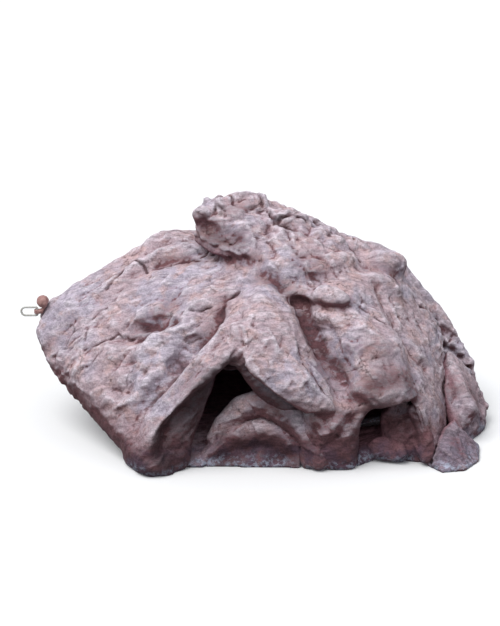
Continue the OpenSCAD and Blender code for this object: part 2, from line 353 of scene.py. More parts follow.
# Broad forms: (height in mm, radius in mm, places). A negative height is a hollow.
FORMS = [
    # the valley between the left plate and the ridge, deepest at its top
    (-5.0, 20, [(-34, -66, 163), (-50, -76, 146), (-60, -90, 124), (-82, -97, 101)]),
    (-3.0, 14, [(-80, -101, 98), (-112, -115, 64), (-128, -122, 46)]),
    (-2.5, 8, [(-22, -62, 169), (-38, -70, 160), (-46, -85, 137), (-62, -98, 114)]),
    # swells and hollows of the left plate
    (5.0, 32, [(-172, -72, 84), (-146, -77, 97), (-116, -85, 106)]),
    (-5.5, 24, [(-128, -66, 122), (-106, -62, 136), (-84, -56, 148)]),
    (3.5, 28, [(-196, -10, 132), (-152, -20, 146), (-112, -24, 160)]),
    (-4.0, 14, [(-143, -99, 71), (-130, -103, 77)]),
    (-3.5, 20, [(-128, -6, 168), (-104, 0, 173), (-62, -4, 183)]),
    (-2.5, 16, [(-217, -34, 92), (-190, -40, 106)]),
    (2.5, 12, [(-150, -4, 158), (-128, 8, 172), (-96, 12, 182)]),
    # under the overhang of the crest
    (-2.5, 14, [(-66, 6, 206), (-48, -8, 203), (-30, -22, 201), (-14, -34, 194)]),
    (-4.0, 11, [(-31, -31, 188), (-16, -37, 190), (0, -44, 188)]),
    (-6.5, 14, [(-58, -12, 214), (-44, -21, 210), (-29, -27, 206)]),
    # the furrow between the domes
    (-7.0, 13, [(4, -54, 176), (16, -62, 172), (30, -66, 163), (42, -68, 153)]),
    (-6.0, 12, [(44, -76, 144), (54, -92, 122), (70, -104, 102), (82, -112, 84)]),
    # the nodule on the right dome, and the pocket under it
    (6.0, 11, [(62, -71, 165), (74, -75, 165), (80, -76, 162)]),
    (-3.5, 8, [(66, -76, 154), (84, -79, 152)]),
    # pits along the front of the crest
    (-5.0, 8, [(-38, -10, 216), (-28, -18, 210), (-16, -28, 201)]),
    (-4.0, 7, [(-26, -2, 224), (-12, -10, 217), (-2, -20, 208)]),
    (-3.5, 7, [(2, -20, 208), (14, -28, 199)]),
    # faces of the right dome
    (3.5, 18, [(100, -92, 136), (118, -98, 126), (130, -96, 116)]),
    (-3.5, 16, [(88, -106, 112), (104, -116, 108), (124, -116, 104)]),
    (3.5, 14, [(96, -126, 84), (116, -129, 78), (136, -122, 82)]),
    # the groove behind the rim and the folds of the shoulder
    (-4.0, 8, [(76, 22, 206), (97, 24, 193), (116, 30, 181)]),
    (-3.5, 10, [(114, -40, 166), (126, -53, 147), (136, -60, 133)]),
    (-3.0, 8, [(137, -68, 129), (145, -74, 115), (168, -74, 84)]),
    (3.0, 10, [(146, -60, 134), (156, -66, 114), (176, -66, 80)]),
    # channel across the crest
    (-4.5, 10, [(-4, 8, 236), (8, -10, 222), (6, -20, 212), (12, -40, 192)]),
    # the inner face of the ridge's foot
    (-4.0, 16, [(-86, -140, 4), (-90, -138, 22), (-94, -134, 40)]),
    # the buttress
    (3.0, 10, [(60, -137, 44), (76, -137, 58)]),
    (-4.0, 9, [(66, -134, 30), (90, -134, 58)]),
    # the ledge: a sharp brow over a hollow face
    (3.0, 9, [(-50, -116, 16), (-32, -111, 28), (-15, -110, 38), (6, -112, 38), (28, -118, 28)]),
    (-8.0, 15, [(-34, -122, 8), (-18, -120, 18), (2, -122, 20), (24, -124, 12)]),
    # ledges of the left plate, each a lip over an undercut
    (4.5, 12, [(-122, -51, 137), (-104, -55, 142)]),
    (2.0, 13, [(-104, -55, 142), (-84, -61, 148), (-66, -63, 157)]),
    (-5.0, 9, [(-116, -64, 127), (-101, -70, 131), (-85, -75, 137)]),
    (-2.0, 9, [(-85, -75, 137), (-70, -76, 144), (-54, -77, 152)]),
    (3.5, 10, [(-148, -48, 126), (-130, -54, 128), (-114, -60, 132)]),
    (-4.0, 8, [(-148, -62, 113), (-132, -68, 114), (-118, -75, 116)]),
    (4.0, 11, [(-116, 14, 181), (-98, 16, 187), (-78, 14, 193)]),
    (-4.0, 9, [(-108, 0, 173), (-91, 0, 177), (-76, -2, 182)]),
    (3.5, 12, [(-160, 0, 156), (-144, 6, 164), (-128, 12, 174)]),
    (-3.0, 12, [(-162, -22, 142), (-140, -18, 153), (-118, -18, 162)]),
    (3.0, 16, [(-186, -44, 108), (-168, -52, 108), (-150, -66, 104)]),
    (-3.0, 12, [(-176, -76, 84), (-150, -84, 90), (-128, -88, 98)]),
    (3.0, 14, [(-150, -98, 62), (-130, -108, 66), (-116, -106, 82)]),
]

# Cracks: (depth in mm, radius in mm, darkness, places).
CRACKS = [
    (6.0, 5.0, 1.0, [(153, -10, 144), (166, -12, 131), (178, 4, 118), (190, 22, 102)]),
    (7.0, 5.5, 1.0, [(198, 16, 76), (210, 20, 67), (222, 18, 54), (236, 14, 38), (240, 0, 33)]),
    (4.0, 4.0, 0.9, [(190, 22, 102), (194, 22, 88), (199, 18, 74), (196, -14, 68), (194, -36, 62)]),
    (2.6, 3.4, 0.9, [(-36, -62, 164), (-38, -76, 155), (-45, -87, 138), (-55, -98, 121), (-68, -100, 108)]),
    (2.2, 3.4, 0.7, [(-80, -105, 95), (-94, -111, 79), (-109, -116, 64), (-122, -118, 52)]),
    (1.8, 2.8, 0.8, [(-3, -93, 162), (11, -86, 163)]),
    (1.8, 2.8, 0.8, [(84, -70, 160), (104, -76, 150), (119, -79, 140), (134, -76, 127)]),
    (2.0, 3.0, 0.8, [(87, -17, 185), (98, -17, 181), (109, -17, 176)]),
    (1.4, 2.8, 0.6, [(43, -126, 114), (55, -132, 96), (68, -136, 78)]),
    (1.4, 2.8, 0.6, [(56, -110, 112), (68, -116, 96), (82, -124, 80)]),
    (2.6, 3.2, 0.9, [(-160, -9, 148), (-146, 0, 158), (-140, 12, 162), (-129, 15, 171), (-122, 6, 169),
                     (-113, -13, 163)]),
    (2.4, 3.0, 0.8, [(-112, -2, 169), (-104, 0, 173), (-93, -4, 175), (-81, -1, 181), (-62, -7, 183)]),
    (2.2, 2.8, 0.9, [(-73, 11, 188), (-62, 3, 186), (-49, -6, 187)]),
    (2.6, 3.2, 0.9, [(-178, -56, 99), (-163, -59, 106), (-150, -59, 114), (-145, -58, 118), (-133, -66, 116),
                     (-121, -72, 119), (-113, -72, 124), (-100, -75, 128)]),
    (1.6, 2.6, 0.6, [(-158, -31, 136), (-169, -33, 129), (-177, -38, 120), (-178, -49, 107)]),
    (1.2, 2.6, 0.4, [(-189, -66, 73), (-170, -69, 88), (-157, -65, 103)]),
    (1.0, 2.4, 0.5, [(-84, -84, 127), (-72, -90, 121), (-60, -89, 125)]),
    (1.0, 2.4, 0.4, [(-84, -91, 118), (-70, -95, 113), (-58, -95, 119)]),
    (1.6, 2.6, 0.5, [(-221, -30, 95), (-207, -31, 108), (-191, -28, 121)]),
    (1.6, 2.6, 0.5, [(-212, -41, 85), (-195, -42, 103), (-182, -43, 111)]),
    (1.5, 2.6, 0.5, [(-194, 6, 143), (-167, 3, 151), (-146, 4, 160)]),
    (2.4, 3.4, 0.9, [(-99, 28, 190), (-88, 32, 194)]),
    (2.0, 2.8, 0.8, [(-22, -62, 169), (-28, -63, 166), (-38, -68, 161), (-55, -71, 153), (-70, -71, 148)]),
    (1.8, 2.8, 0.7, [(40, -41, 193), (50, -36, 194), (61, -22, 190)]),
    (1.8, 2.8, 0.7, [(88, -22, 184), (100, -17, 181), (110, -17, 176)]),
    (1.4, 2.6, 0.6, [(14, -88, 161), (24, -80, 160), (31, -76, 157)]),
    (1.5, 2.6, 0.5, [(49, -95, 126), (62, -108, 106), (76, -122, 84)]),
    (1.5, 2.6, 0.5, [(58, -86, 126), (70, -101, 108), (82, -112, 90)]),
    (2.2, 3.0, 0.9, [(192, -66, 35), (200, -76, 28), (212, -92, 16), (222, -87, 6)]),
    (1.8, 2.8, 0.8, [(176, -128, 14), (190, -118, 24), (200, -100, 30)]),
    (1.5, 2.6, 0.6, [(149, -112, 25), (158, -108, 34), (170, -104, 42)]),
    (1.6, 2.6, 0.5, [(97, -130, 70), (116, -130, 81), (136, -115, 96)]),
]

# Red-brown stains, many of them painted shade on undersides, in furrows and on the ridge's inner face:
# (strength, radius in mm, places).
STAINS_AND_SHADE = [
    (0.9, 10, [(-104, 0, 173), (-81, -1, 181), (-66, -6, 182)]),
    (0.8, 16, [(-119, -64, 128), (-101, -65, 137), (-87, -50, 146)]),
    (1.0, 17, [(-60, -12, 214), (-44, -22, 210), (-24, -28, 206)]),
    (0.9, 12, [(-31, -31, 186), (-3, -41, 190)]),
    (0.8, 13, [(-38, -71, 158), (-52, -94, 125)]),
    (0.9, 13, [(2, -55, 176), (14, -63, 173), (29, -64, 165), (42, -68, 153)]),
    (0.9, 14, [(42, -76, 144), (46, -96, 128), (57, -98, 117), (68, -104, 108), (80, -110, 102)]),
    (0.8, 18, [(60, -112, 108), (76, -116, 96), (94, -122, 86), (116, -122, 84)]),
    (0.8, 14, [(-208, -48, 58), (-170, -92, 36), (-135, -128, 14)]),
    (0.5, 10, [(66, -73, 160), (84, -76, 156)]),
    (1.0, 13, [(90, -128, 76), (111, -128, 86), (131, -120, 96), (146, -116, 88), (156, -112, 74)]),
    (0.9, 12, [(134, -118, 102), (140, -114, 94)]),
    (0.8, 12, [(193, -54, 56), (206, -50, 50), (221, -42, 41)]),
    (0.6, 10, [(196, -108, 22), (200, -112, 12)]),
    (0.8, 10, [(-36, -24, 209), (-21, -30, 204)]),
    (0.7, 9, [(-29, -2, 235), (-16, 0, 235)]),
    (0.8, 8, [(64, -66, 160), (76, -74, 158), (86, -72, 158)]),
    (0.8, 9, [(36, -49, 189), (52, -50, 180), (66, -42, 186)]),
    (0.8, 12, [(124, -14, 172), (136, -4, 172)]),
    (0.9, 8, [(-114, -63, 129), (-101, -68, 132), (-85, -73, 138)]),
    (1.0, 18, [(-16, -104, 92), (2, -110, 72), (24, -116, 56)]),
    (1.0, 16, [(-50, -120, 99), (-62, -124, 84), (-72, -122, 66), (-84, -118, 48), (-91, -120, 10)]),
    (0.8, 14, [(-207, -47, 64), (-189, -66, 50), (-173, -79, 39), (-150, -104, 26), (-128, -134, 14)]),
    (0.8, 16, [(118, -22, 168), (134, -20, 160)]),
    (1.0, 18, [(108, -125, 90), (134, -118, 94), (150, -106, 92)]),
    (0.6, 16, [(45, -42, 190), (60, -46, 178)]),
    (0.6, 16, [(88, -106, 120), (122, -106, 114)]),
    (0.8, 16, [(198, -46, 54), (222, -36, 40)]),
    (0.9, 14, [(-20, -138, 104), (2, -143, 84), (28, -146, 66), (56, -140, 54), (88, -132, 62)]),
    (0.5, 16, [(-190, -20, 116), (-214, -28, 98)]),
    (0.7, 24, [(-30, -120, 12), (20, -122, 14), (70, -136, 24)]),
]

# Painted shade, near-black, in recesses: (strength, radius in mm, places).
SHADES = [
    (0.45, 16, [(110, -128, 88), (131, -122, 95), (146, -116, 88)]),
    (0.4, 14, [(-20, -98, 96), (-4, -104, 78), (20, -112, 60)]),
    (0.7, 5, [(43, -91, 134), (46, -102, 126), (57, -97, 117), (68, -102, 109), (78, -109, 103)]),
    (0.6, 7, [(27, -66, 162), (36, -66, 158)]),
    (0.7, 5, [(-118, -66, 124), (-106, -68, 128)]),
    (0.6, 4, [(-40, -80, 150), (-46, -90, 136), (-56, -99, 120)]),
    (0.5, 4, [(-82, -106, 93), (-94, -111, 79), (-106, -116, 66)]),
    (0.8, 7, [(-38, -10, 216), (-28, -18, 210), (-16, -28, 201)]),
    (0.7, 6, [(-26, -2, 224), (-12, -10, 217), (-2, -20, 208)]),
    (0.6, 6, [(2, -20, 208), (14, -28, 199)]),
    (0.6, 8, [(120, -118, 50), (140, -112, 46), (156, -112, 40)]),
    (0.45, 8, [(4, -55, 176), (16, -62, 172), (28, -66, 164)]),
    (0.5, 13, [(-56, -13, 212), (-44, -22, 208), (-26, -28, 204)]),
    (0.3, 13, [(42, -76, 144), (56, -97, 119), (80, -110, 102)]),
    (0.6, 12, [(94, -128, 46), (98, -126, 20)]),
    (0.6, 10, [(112, -126, 60), (140, -118, 60)]),
]

# Painted shade in sheltered places, left off faces that look up.
RECESSES = [
    (1.0, 26, [(-48, -118, 100), (-62, -116, 80), (-76, -112, 58), (-88, -108, 34), (-94, -114, 12)]),
    (0.45, 18, [(-114, -146, 8), (-92, -142, 8)]),
    (0.7, 16, [(4, -106, 84), (10, -110, 74), (30, -114, 60)]),
    (0.6, 13, [(-34, -122, 8), (-18, -120, 20), (2, -121, 22), (24, -124, 12)]),
    (0.4, 18, [(108, -122, 58), (128, -112, 44), (150, -108, 40)]),
    (0.45, 11, [(-56, -4, 204), (-42, -16, 202), (-28, -26, 199)]),
    (0.4, 13, [(-196, -56, 56), (-176, -74, 40), (-150, -100, 26), (-130, -126, 14)]),
    (0.4, 9, [(42, -80, 140), (47, -90, 130), (56, -97, 119), (68, -102, 110), (80, -110, 102)]),
]

# Painted shade on the ridge's inner side, only where it looks to the right.
RIDGE_INSIDE = [
    (0.85, 30, [(-44, -114, 106), (-64, -120, 84), (-84, -128, 60), (-96, -134, 36), (-100, -136, 10)]),
]

# The wall's thickness, and the band above the ground in which the relief fades out, in mm.
WALL = 9
FOOT_BAND = 9

# Directions of the long chips on the left plate and on the domes, and the line of the crest.
PLATE_GRAIN = np.array([0.78, 0.06, 0.62])
DOME_GRAIN = np.array([0.55, -0.5, -0.67])
CREST_LINE = [(-58, 4, 230), (-20, 0, 226), (30, -8, 208), (70, -2, 196)]


# Heights of the fine relief, in mm.
CHIP = 3.0
SMALL_CHIP = 1.4
CHIP_JOINT = 0.5
GRAIN_LINE = 0.5
TOOTH = 0.4
CREASE = 0.9
NODULE = 3.6
SMALL_NODULE = 1.8
PIT = 1.0
CHANNEL = 3.4


def stretched(p, grain, ratio):
    """Places squeezed along the grain, so that noise on them runs with it."""
    grain = grain / np.linalg.norm(grain)
    return p - np.outer(p @ grain, grain) * (1 - 1 / ratio)


def wander(p, size, reach, seed):
    """Places pushed about by noise of the given size, by up to about the reach."""
    return p + reach * np.stack([smooth(p, size, seed + k) for k in range(3)], 1)


def broad_forms(p):
    """Height in mm of the swells, valleys and folds at each landmark."""
    loose = wander(wander(p, 24, 4.5, 3), 8, 1.4, 9)
    height = 3.0 * fractal(p, 70, 2, 5)
    for rise, radius, places in FORMS:
        height += rise * near(loose, radius, places)
    return height + 7.0 * facets(wander(p, 40, 8, 13), 62, 63)[0] * ramp(20, 70, p[:, 1])


def grained(p, loose, left, crest):
    """Height in mm of the long chips that run with each face of the rock, and 1 in their joints."""
    plate, plate_joint = facets(stretched(loose, PLATE_GRAIN, 2.6), 17, 61)
    dome, dome_joint = facets(stretched(loose, DOME_GRAIN, 2.2), 17, 62)
    small = facets(stretched(loose, PLATE_GRAIN, 2.0), 8, 64)[0]
    lines = left * creased(stretched(loose, PLATE_GRAIN, 8), 8, 2, 31)
    lines += (1 - left) * (1 - crest) * creased(stretched(loose, DOME_GRAIN, 6), 8, 2, 32)
    rough = 0.45 + 0.9 * ramp(-0.15, 0.4, smooth(p, 55, 66)) + 0.5 * crest
    chips = left * plate + (1 - left) * dome
    joint = (left * plate_joint + (1 - left) * dome_joint) * ramp(0.0, 0.35, smooth(p, 26, 67))
    height = rough * (CHIP * chips + SMALL_CHIP * small + GRAIN_LINE * lines)
    height += TOOTH * fractal(p, 6.5, 2, 41) - CHIP_JOINT * joint
    return height, joint


def fine_relief(p):
    """Height in mm of the weathered surface at each landmark, and its painted marks from 0 to 1: cracks,
    stains that are partly painted shade, and painted shade.
    """
    loose = wander(wander(p, 24, 4.5, 3), 8, 1.4, 9)
    crest = near(p, 62, CREST_LINE, 0.6)
    left = ramp(0, -60, p[:, 0]) * ramp(60, 20, p[:, 1])
    height, joint = grained(p, loose, left, crest)
    height -= CREASE * creased(loose, 36, 2, 11)
    height += crest * (NODULE * lumps(loose, 18, 21) + SMALL_NODULE * lumps(loose, 9.5, 22) - 2.4)
    pits = ramp(0.62, 0.9, smooth(loose, 7, 51))
    channels = ramp(0.16, 0.02, np.abs(smooth(wander(p, 12, 4, 53), 20, 54)))
    channels *= crest * ramp(-0.05, 0.3, smooth(p, 24, 55))
    height -= PIT * pits + CHANNEL * channels
    cracks = 0.45 * joint
    rough = wander(p, 9, 2.2, 61)
    broken = ramp(-0.5, 0.2, smooth(p, 12, 71))
    for depth, radius, dark, places in CRACKS:
        height -= depth * near(rough, radius, places) * broken
        cracks = np.maximum(cracks, dark * near(rough, radius * 0.8, places) * broken)
    # Red-brown stains, partly painted shade under overhangs and in furrows.
    stain_and_shade = painted(loose, STAINS_AND_SHADE)
    # Painted shade in the recesses and along the crest's channels.
    shade = np.maximum(painted(loose, SHADES), 0.85 * channels)
    return height, {"crack": np.maximum(cracks, 0.35 * pits), "stain_and_shade": stain_and_shade, "shade": shade}


def painted(p, strokes, hard=1.0):
    """The strongest of the strokes at each landmark."""
    layers = [strength * near(p, radius * 1.3, places, hard) for strength, radius, places in strokes]
    return np.max(layers, axis=0)


def sculpt(piece, strength=1.0):
    """Carves the weathered relief into a piece and paints its stains, its cracks, and painted shade in its
    hollows and recesses.
    """
    p = piece.marks()
    outward = piece.blur(piece.normals(), 4)
    outward /= np.maximum(np.linalg.norm(outward, axis=1), 1e-9)[:, None]
    inside = inner_side(p, outward)
    # The inner face follows the outer one, so that a valley does not thin the wall.
    height = broad_forms(p - WALL * inside[:, None] * outward) * (1 - 2 * inside)
    fine, paint = fine_relief(p)
    height += fine * (1 - 0.6 * inside)
    foot = ramp(-1, FOOT_BAND, p[:, 2])
    piece.co = piece.co + (strength * MM * height * foot)[:, None] * outward
    piece.co[:, 2] = np.maximum(piece.co[:, 2], LOW.z)
    # Painted shade in sheltered places and on the ridge's inner face.
    sheltered = painted(p, RECESSES, 0.45) * ramp(0.75, 0.3, outward[:, 2])
    turned = painted(p, RIDGE_INSIDE, 0.45) * ramp(0.05, 0.45, outward[:, 0])
    paint["shade"] = np.max([paint["shade"], sheltered, turned], axis=0)
    normals = piece.normals()
    # How far each vertex lies below its smoothed neighbours, at two scales: from it the material paints
    # shade into the hollows and a highlight onto the ridges.
    hollow = np.zeros(len(p))
    for rounds, depth in ((4, 0.6), (40, 3.0)):
        rise = np.sum((piece.blur(piece.co, rounds) - piece.co) * normals, axis=1) / MM
        hollow += 0.5 * rise / depth
    piece.paint = dict(paint, hollow=0.5 + 0.5 * hollow, inside=inside)


def inner_side(p, outward):
    """1 on the faces that look into the cavity."""
    from_middle = p - np.array([0, 15, 50])
    from_middle /= np.linalg.norm(from_middle, axis=1)[:, None]
    facing = np.sum(outward * from_middle, axis=1)
    return ramp(0.1, -0.35, facing) * ramp(-125, -95, p[:, 1])


# ---------------------------------------------------------------- castings

# The seam between the two shells, and the bed of the crest; lengths in mm.
SEAM_AT = ORIGIN + np.array([0, 27, 0]) * MM
SEAM_NORMAL = np.array([math.sin(math.radians(5)), math.cos(math.radians(5)), 0])
BOND_GAP = 0.8
CREST_DEPTH = 9
CREST_FOOT = 165
BED_GAP = 0.3
BED_RINGS = 7
BED_CURVE = 0.35
RIM_ANGLE = math.radians(60)
MERGE = 0.02 * MM


def crest_label(body):
    """1 where the body's skin belongs to the crest."""
    own = BVHTree.FromPolygons(*cad_faces("crest_cap"))
    rest = [BVHTree.FromPolygons(*cad_faces(node)) for node in ("front_shell", "back_shell")]
    p = body.co + 2.5 * MM * np.stack([smooth(body.marks(), 14, 81 + k) for k in range(3)], 1)
    label = np.zeros(len(p))
    for i in np.nonzero(body.marks()[:, 2] > CREST_FOOT)[0]:
        gap = own.find_nearest(p[i])[3]
        label[i] = gap < min(tree.find_nearest(p[i])[3] for tree in rest)
    return body.blur(label, 8) > 0.5


def ring_distance(body, start, rings):
    """Distance in mm from the start vertices over the mesh, up to a number of rings."""
    far = np.where(start, 0.0, rings * BODY_VOXEL)
    a, b = body.edges.T
    length = np.linalg.norm(body.co[a] - body.co[b], axis=1) / MM
    for _ in range(rings):
        step = far.copy()
        np.minimum.at(step, a, far[b] + length)
        np.minimum.at(step, b, far[a] + length)
        far = step
    return far


def split_crest(body):
    """Cuts the crest from the body: a closed casting, and the bed for it in the body."""
    labels = crest_label(body)
    patch = labels[body.quads].all(axis=1)
    inside = np.zeros(len(body.co), bool)
    inside[body.quads[patch]] = True
    edge = np.zeros(len(body.co), bool)
    edge[body.quads[~patch]] = True
    edge &= inside
    far = ring_distance(body, edge, BED_RINGS + 1)
    depth = CREST_DEPTH * np.clip(far / (BED_RINGS * BODY_VOXEL), 0, 1) ** BED_CURVE * inside
    inward = -body.blur(body.normals(), 6)
    patch[patch] = ~edge[body.quads[patch]].all(axis=1)
    outer = body.quads[patch]
    number = np.full(len(body.co), -1)
    used = np.unique(outer)
    number[used] = np.arange(len(used))
    under = number.copy()
    deep = used[~edge[used]]
    under[deep] = len(used) + np.arange(len(deep))
    bed = body.co[deep] + ((depth[deep] - BED_GAP) * MM)[:, None] * inward[deep]
    points = np.concatenate([body.co[used], bed])
    faces = np.concatenate([number[outer], under[outer][:, ::-1]])
    paint = {k: np.concatenate([v[used], v[deep]]) for k, v in body.paint.items()}
    crest = new_piece("crest_rock", points, faces, paint)
    body.co = body.co + (depth * MM)[:, None] * inward
    return crest


def new_piece(name, points, faces, paint):
    """A smooth object with painted attributes and a sharp rim."""
    mesh = bpy.data.meshes.new(name)
    mesh.from_pydata(points.tolist(), [], faces.tolist())
    for key, values in paint.items():
        layer = mesh.attributes.new(key, "FLOAT", "POINT")
        layer.data.foreach_set("value", np.clip(values, 0, 1).astype(np.float32))
    mesh.shade_smooth()
    mesh.set_sharp_from_angle(angle=RIM_ANGLE)
    obj = bpy.data.objects.new(name, mesh)
    bpy.context.collection.objects.link(obj)
    return obj


def open_edges(form):
    """Edges with only one face."""
    return [e for e in form.edges if e.is_boundary]


def fan_fill(form):
    """Closes each rim that is still open with a fan of triangles about its middle."""
    waiting = set(open_edges(form))
    for first in open_edges(form):
        if first not in waiting:
            continue
        waiting.remove(first)
        rim = [first]
        for edge in rim:
            joined = [e for v in edge.verts for e in v.link_edges if e in waiting]
            rim.extend(dict.fromkeys(joined))
            waiting.difference_update(joined)
        middle = form.verts.new(sum((v.co for e in rim for v in e.verts), Vector()) / (2 * len(rim)))
        for loop in [e.link_loops[0] for e in rim]:
            form.faces.new((loop.link_loop_next.vert, loop.vert, middle))


def half(body, name, side, offset):
    """The part of the body on one side of the seam, closed with flat bonding faces."""
    form = bmesh.new()
    form.from_mesh(body.mesh)
    everything = form.verts[:] + form.edges[:] + form.faces[:]
    place = SEAM_AT + offset * MM * SEAM_NORMAL
    bmesh.ops.bisect_plane(form, geom=everything, dist=MERGE, plane_co=place, plane_no=SEAM_NORMAL * side,
                           clear_outer=True)
    bmesh.ops.remove_doubles(form, verts=[v for v in form.verts if v.is_boundary], dist=MERGE)
    bmesh.ops.triangle_fill(form, edges=open_edges(form), normal=SEAM_NORMAL * side)
    bmesh.ops.holes_fill(form, edges=open_edges(form), sides=0)
    bmesh.ops.edgenet_fill(form, edges=open_edges(form))
    fan_fill(form)
    mesh = bpy.data.meshes.new(name)
    form.to_mesh(mesh)
    form.free()
    mesh.set_sharp_from_angle(angle=RIM_ANGLE)
    obj = bpy.data.objects.new(name, mesh)
    bpy.context.collection.objects.link(obj)
    return obj


STONES = [
    # piece, CAD node, voxel in mm, strength of the relief
    ("ledge_rock", "cave_ledge", 1.6, 1.0),
    ("side_rock", "side_stone", 1.5, 1.0),
    ("flank_rock", "flank_slab", 1.3, 1.2),
    ("toe_rock", "toe_stone", 1.2, 0.8),
]
STONE_CLAY = {
    "side_stone": [[(156, -104, 52, 8), (165, -112, 30, 8), (166, -116, 10, 8)],
                   [(118, -106, 12, 10), (140, -108, 12, 12)]],
    "cave_ledge": [[(-44, -104, 24, 11), (-34, -101, 38, 12), (-18, -98, 54, 12), (2, -101, 62, 13),
                    (18, -107, 57, 13), (34, -113, 48, 13), (46, -120, 34, 11), (56, -124, 20, 10),
                    (58, -126, 8, 9)]],
    "flank_slab": [[(196, -22, 66, 9), (204, -44, 54, 10), (214, -56, 34, 10)]],
}


# The floor of the cave, a thin web that runs back from the ledge; it takes the cave's painted shade, as a
# dark sheet under the open bottom.
FLOOR_WEB = [(176, 10), (172, 48), (150, 88), (112, 116), (60, 130), (-60, 124), (-112, 100), (-128, 50),
             (-124, 10), (-60, -46), (40, -46)]
WEB_THICKNESS = 4
STONE_GROWTH = 1.0


def make_stone(name, node, voxel, strength):
    """A loose stone: its CAD form with clay, remeshed, grown by a millimetre and sculpted."""
    sources = [cad_faces(node)]
    if node == "cave_ledge":
        sources.append(sheet(FLOOR_WEB, WEB_THICKNESS))
    for roll in STONE_CLAY.get(node, []):
        sources.extend(clay(*roll))
    stone = Skin(name, sources, voxel * MM)
    stone.relax(10, stands(stone.marks(), 10))
    stone.co = stone.co + STONE_GROWTH * MM * stone.normals()
    sculpt(stone, strength)
    stone.store()
    return stone.obj


def make_pieces():
    """All the rock pieces, by the CAD node that each stands for."""
    made = {}
    body = make_body()
    sculpt(body)
    made["crest_cap"] = split_crest(body)
    body.store()
    made["front_shell"] = half(body, "front_rock", 1, 0)
    made["back_shell"] = half(body, "back_rock", -1, BOND_GAP)
    bpy.data.objects.remove(body.obj)
    for name, node, voxel, strength in STONES:
        made[node] = make_stone(name, node, voxel, strength)
    return made


# ---------------------------------------------------------------- materials

MAUVE = (0.480, 0.362, 0.400)
LILAC = (0.430, 0.396, 0.490)
PEACH = (0.580, 0.385, 0.370)
PALE = (0.740, 0.665, 0.730)
# Red-brown for stains, and for painted shade in hollows, under overhangs and near the ground.
STAIN_AND_SHADE_BROWN = (0.150, 0.054, 0.061)
# Near-black for cracks and for painted shade in recesses.
DARK = (0.022, 0.009, 0.013)
# Painted shade inside the cave: dark red-brown.
CAVE_SHADE = (0.290, 0.145, 0.170)
SLATE = (0.085, 0.065, 0.110)
FROST = (0.46, 0.50, 0.62)


class Nodes:
    """Short calls that add shader nodes and return their output sockets."""

    def __init__(self, name):
        self.material = bpy.data.materials.new(name)
        self.material.use_nodes = True
        self.tree = self.material.node_tree
        self.shader = self.tree.nodes["Principled BSDF"]
        self.shader.inputs["Specular IOR Level"].default_value = 0.3
        self.place = self.add("ShaderNodeTexCoord").outputs["Object"]

    def add(self, kind, inputs=(), **settings):
        node = self.tree.nodes.new(kind)
        for key, value in settings.items():
            setattr(node, key, value)
        for key, value in dict(inputs).items():
            self.put(node.inputs[key], value)
        return node

    def put(self, socket, value):
        if isinstance(value, bpy.types.NodeSocket):
            self.tree.links.new(value, socket)
        elif isinstance(value, tuple) and len(value) == 3 and socket.type == "RGBA":
            socket.default_value = (*value, 1)
        else:
            socket.default_value = value

    def math(self, operation, a, b=0.0, clamp=False):
        return self.add("ShaderNodeMath", {0: a, 1: b}, operation=operation, use_clamp=clamp).outputs[0]

    def step(self, value, low, high, out=(0.0, 1.0)):
        """A smooth change between the two out values as value goes from low to high."""
        node = self.add("ShaderNodeMapRange", {"Value": value, "From Min": low, "From Max": high,
                                               "To Min": out[0], "To Max": out[1]},
                        interpolation_type="SMOOTHSTEP")
        return node.outputs["Result"]

    def mix(self, amount, a, b, blend="MIX"):
        node = self.add("ShaderNodeMix", data_type="RGBA", blend_type=blend)
        self.put(node.inputs["Factor"], amount)
        self.put(node.inputs[6], a)
        self.put(node.inputs[7], b)
        return node.outputs[2]

    def noise(self, size, detail=3.0, place=None, warp=0.0, rough=0.55):
        """Noise with features of about the given size in mm."""
        node = self.add("ShaderNodeTexNoise", {"Vector": place or self.place, "Scale": 1000.0 / size,
                                               "Detail": detail, "Roughness": rough, "Distortion": warp})
        return node.outputs["Fac"]

    def stretched(self, turn, squeeze):
        """Object places squeezed across one direction, for grain that runs along it."""
        return self.add("ShaderNodeMapping", {"Vector": self.place, "Rotation": turn, "Scale": squeeze}
                        ).outputs["Vector"]

    def mixed_place(self, value, reach=9.0):
        """Object places pushed about by a noise value, in mm."""
        push = self.math("MULTIPLY", self.math("SUBTRACT", value, 0.5), reach * MM)
        push = self.add("ShaderNodeCombineXYZ", {0: push, 1: push, 2: push}).outputs[0]
        return self.add("ShaderNodeVectorMath", {0: self.place, 1: push}, operation="ADD").outputs[0]

    def attribute(self, name):
        return self.add("ShaderNodeAttribute", attribute_name=name).outputs["Fac"]

    def finish(self, colour, roughness, height, depth):
        self.put(self.shader.inputs["Base Color"], colour)
        self.put(self.shader.inputs["Roughness"], roughness)
        bump = self.add("ShaderNodeBump", {"Height": height, "Strength": 1.0, "Distance": depth * MM})
        self.put(self.shader.inputs["Normal"], bump.outputs["Normal"])
        return self.material


